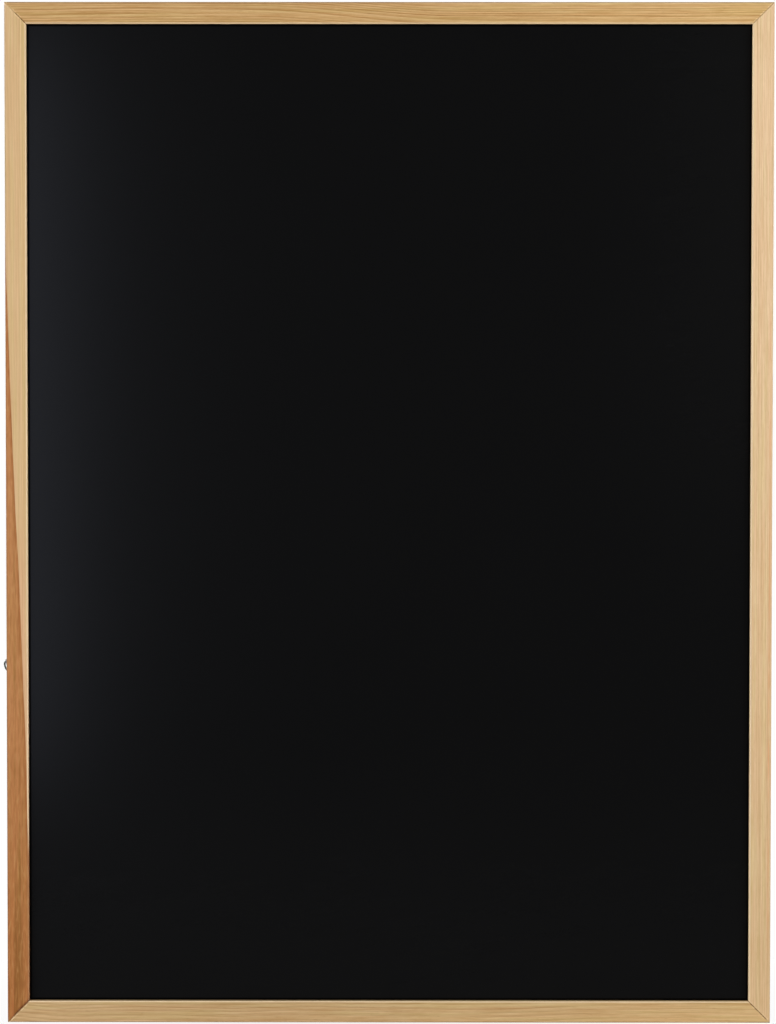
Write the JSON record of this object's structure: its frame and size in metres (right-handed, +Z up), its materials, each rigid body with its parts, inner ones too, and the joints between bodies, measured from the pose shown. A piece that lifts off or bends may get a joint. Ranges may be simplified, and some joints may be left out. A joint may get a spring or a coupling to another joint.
{
  "type": "magnetic chalkboard",
  "caption": "Magnetic chalkboard: matt black painted steel sheet on a backed core in a mitred pine frame, with D-ring strap hangers on the back of its long sides.",
  "frame": {"origin": "midway between the two wall hooks that carry the upper hanger rings once they are turned up, in the plane of the rings", "axes": "+Z up along the long sides, +X to the right seen from the front, +Y towards the wall; the writing face looks along -Y"},
  "size_m": [0.6049, 0.0223, 0.8],
  "materials": {
    "pine": "planed and sanded pine with a thin clear matt lacquer",
    "chalk_enamel": "matt black chalkboard enamel on sheet steel",
    "fibreboard": "raw fibreboard",
    "hardboard": "brown hardboard, smooth side out",
    "zinc_plate": "bright zinc plated steel",
    "ring_wire": "dull zinc plated steel wire"
  },
  "bodies": {
    "framed_board": {"rail_left": "pine", "rail_right": "pine", "rail_top": "pine", "rail_bottom": "pine", "writing_sheet": "chalk_enamel", "core_board": "fibreboard", "back_panel": "hardboard", "point_bottom_1": "zinc_plate", "point_bottom_2": "zinc_plate", "point_bottom_3": "zinc_plate", "point_top_1": "zinc_plate", "point_top_2": "zinc_plate", "point_top_3": "zinc_plate", "point_left_1": "zinc_plate", "point_left_2": "zinc_plate", "point_left_3": "zinc_plate", "point_left_4": "zinc_plate", "point_right_1": "zinc_plate", "point_right_2": "zinc_plate", "point_right_3": "zinc_plate", "point_right_4": "zinc_plate", "v_nail_bottom_left_1": "zinc_plate", "v_nail_bottom_left_2": "zinc_plate", "v_nail_bottom_right_1": "zinc_plate", "v_nail_bottom_right_2": "zinc_plate", "v_nail_top_left_1": "zinc_plate", "v_nail_top_left_2": "zinc_plate", "v_nail_top_right_1": "zinc_plate", "v_nail_top_right_2": "zinc_plate", "hanger_strap_upper_left": "zinc_plate", "hanger_strap_upper_right": "zinc_plate", "hanger_strap_lower_left": "zinc_plate", "hanger_strap_lower_right": "zinc_plate", "hanger_screw_upper_left": "zinc_plate", "hanger_screw_upper_right": "zinc_plate", "hanger_screw_lower_left": "zinc_plate", "hanger_screw_lower_right": "zinc_plate"},
    "ring_upper_left": {"hanger_ring_upper_left": "ring_wire"},
    "ring_upper_right": {"hanger_ring_upper_right": "ring_wire"},
    "ring_lower_left": {"hanger_ring_lower_left": "ring_wire"},
    "ring_lower_right": {"hanger_ring_lower_right": "ring_wire"}
  },
  "joints": [
    {"name": "ring_upper_left_swing", "type": "hinge", "parent": "framed_board", "child": "ring_upper_left", "pos_m": [-0.294, 0, -0.0088], "axis": [1, 0, 0], "range_deg": [0, 180]},
    {"name": "ring_upper_right_swing", "type": "hinge", "parent": "framed_board", "child": "ring_upper_right", "pos_m": [0.294, 0, -0.0088], "axis": [1, 0, 0], "range_deg": [0, 180]},
    {"name": "ring_lower_left_swing", "type": "hinge", "parent": "framed_board", "child": "ring_lower_left", "pos_m": [-0.2976, 0, -0.27471], "axis": [0.9744, 0, 0.225], "range_deg": [0, 180]},
    {"name": "ring_lower_right_swing", "type": "hinge", "parent": "framed_board", "child": "ring_lower_right", "pos_m": [0.294, 0, -0.2768], "axis": [1, 0, 0], "range_deg": [0, 180]}
  ]
}
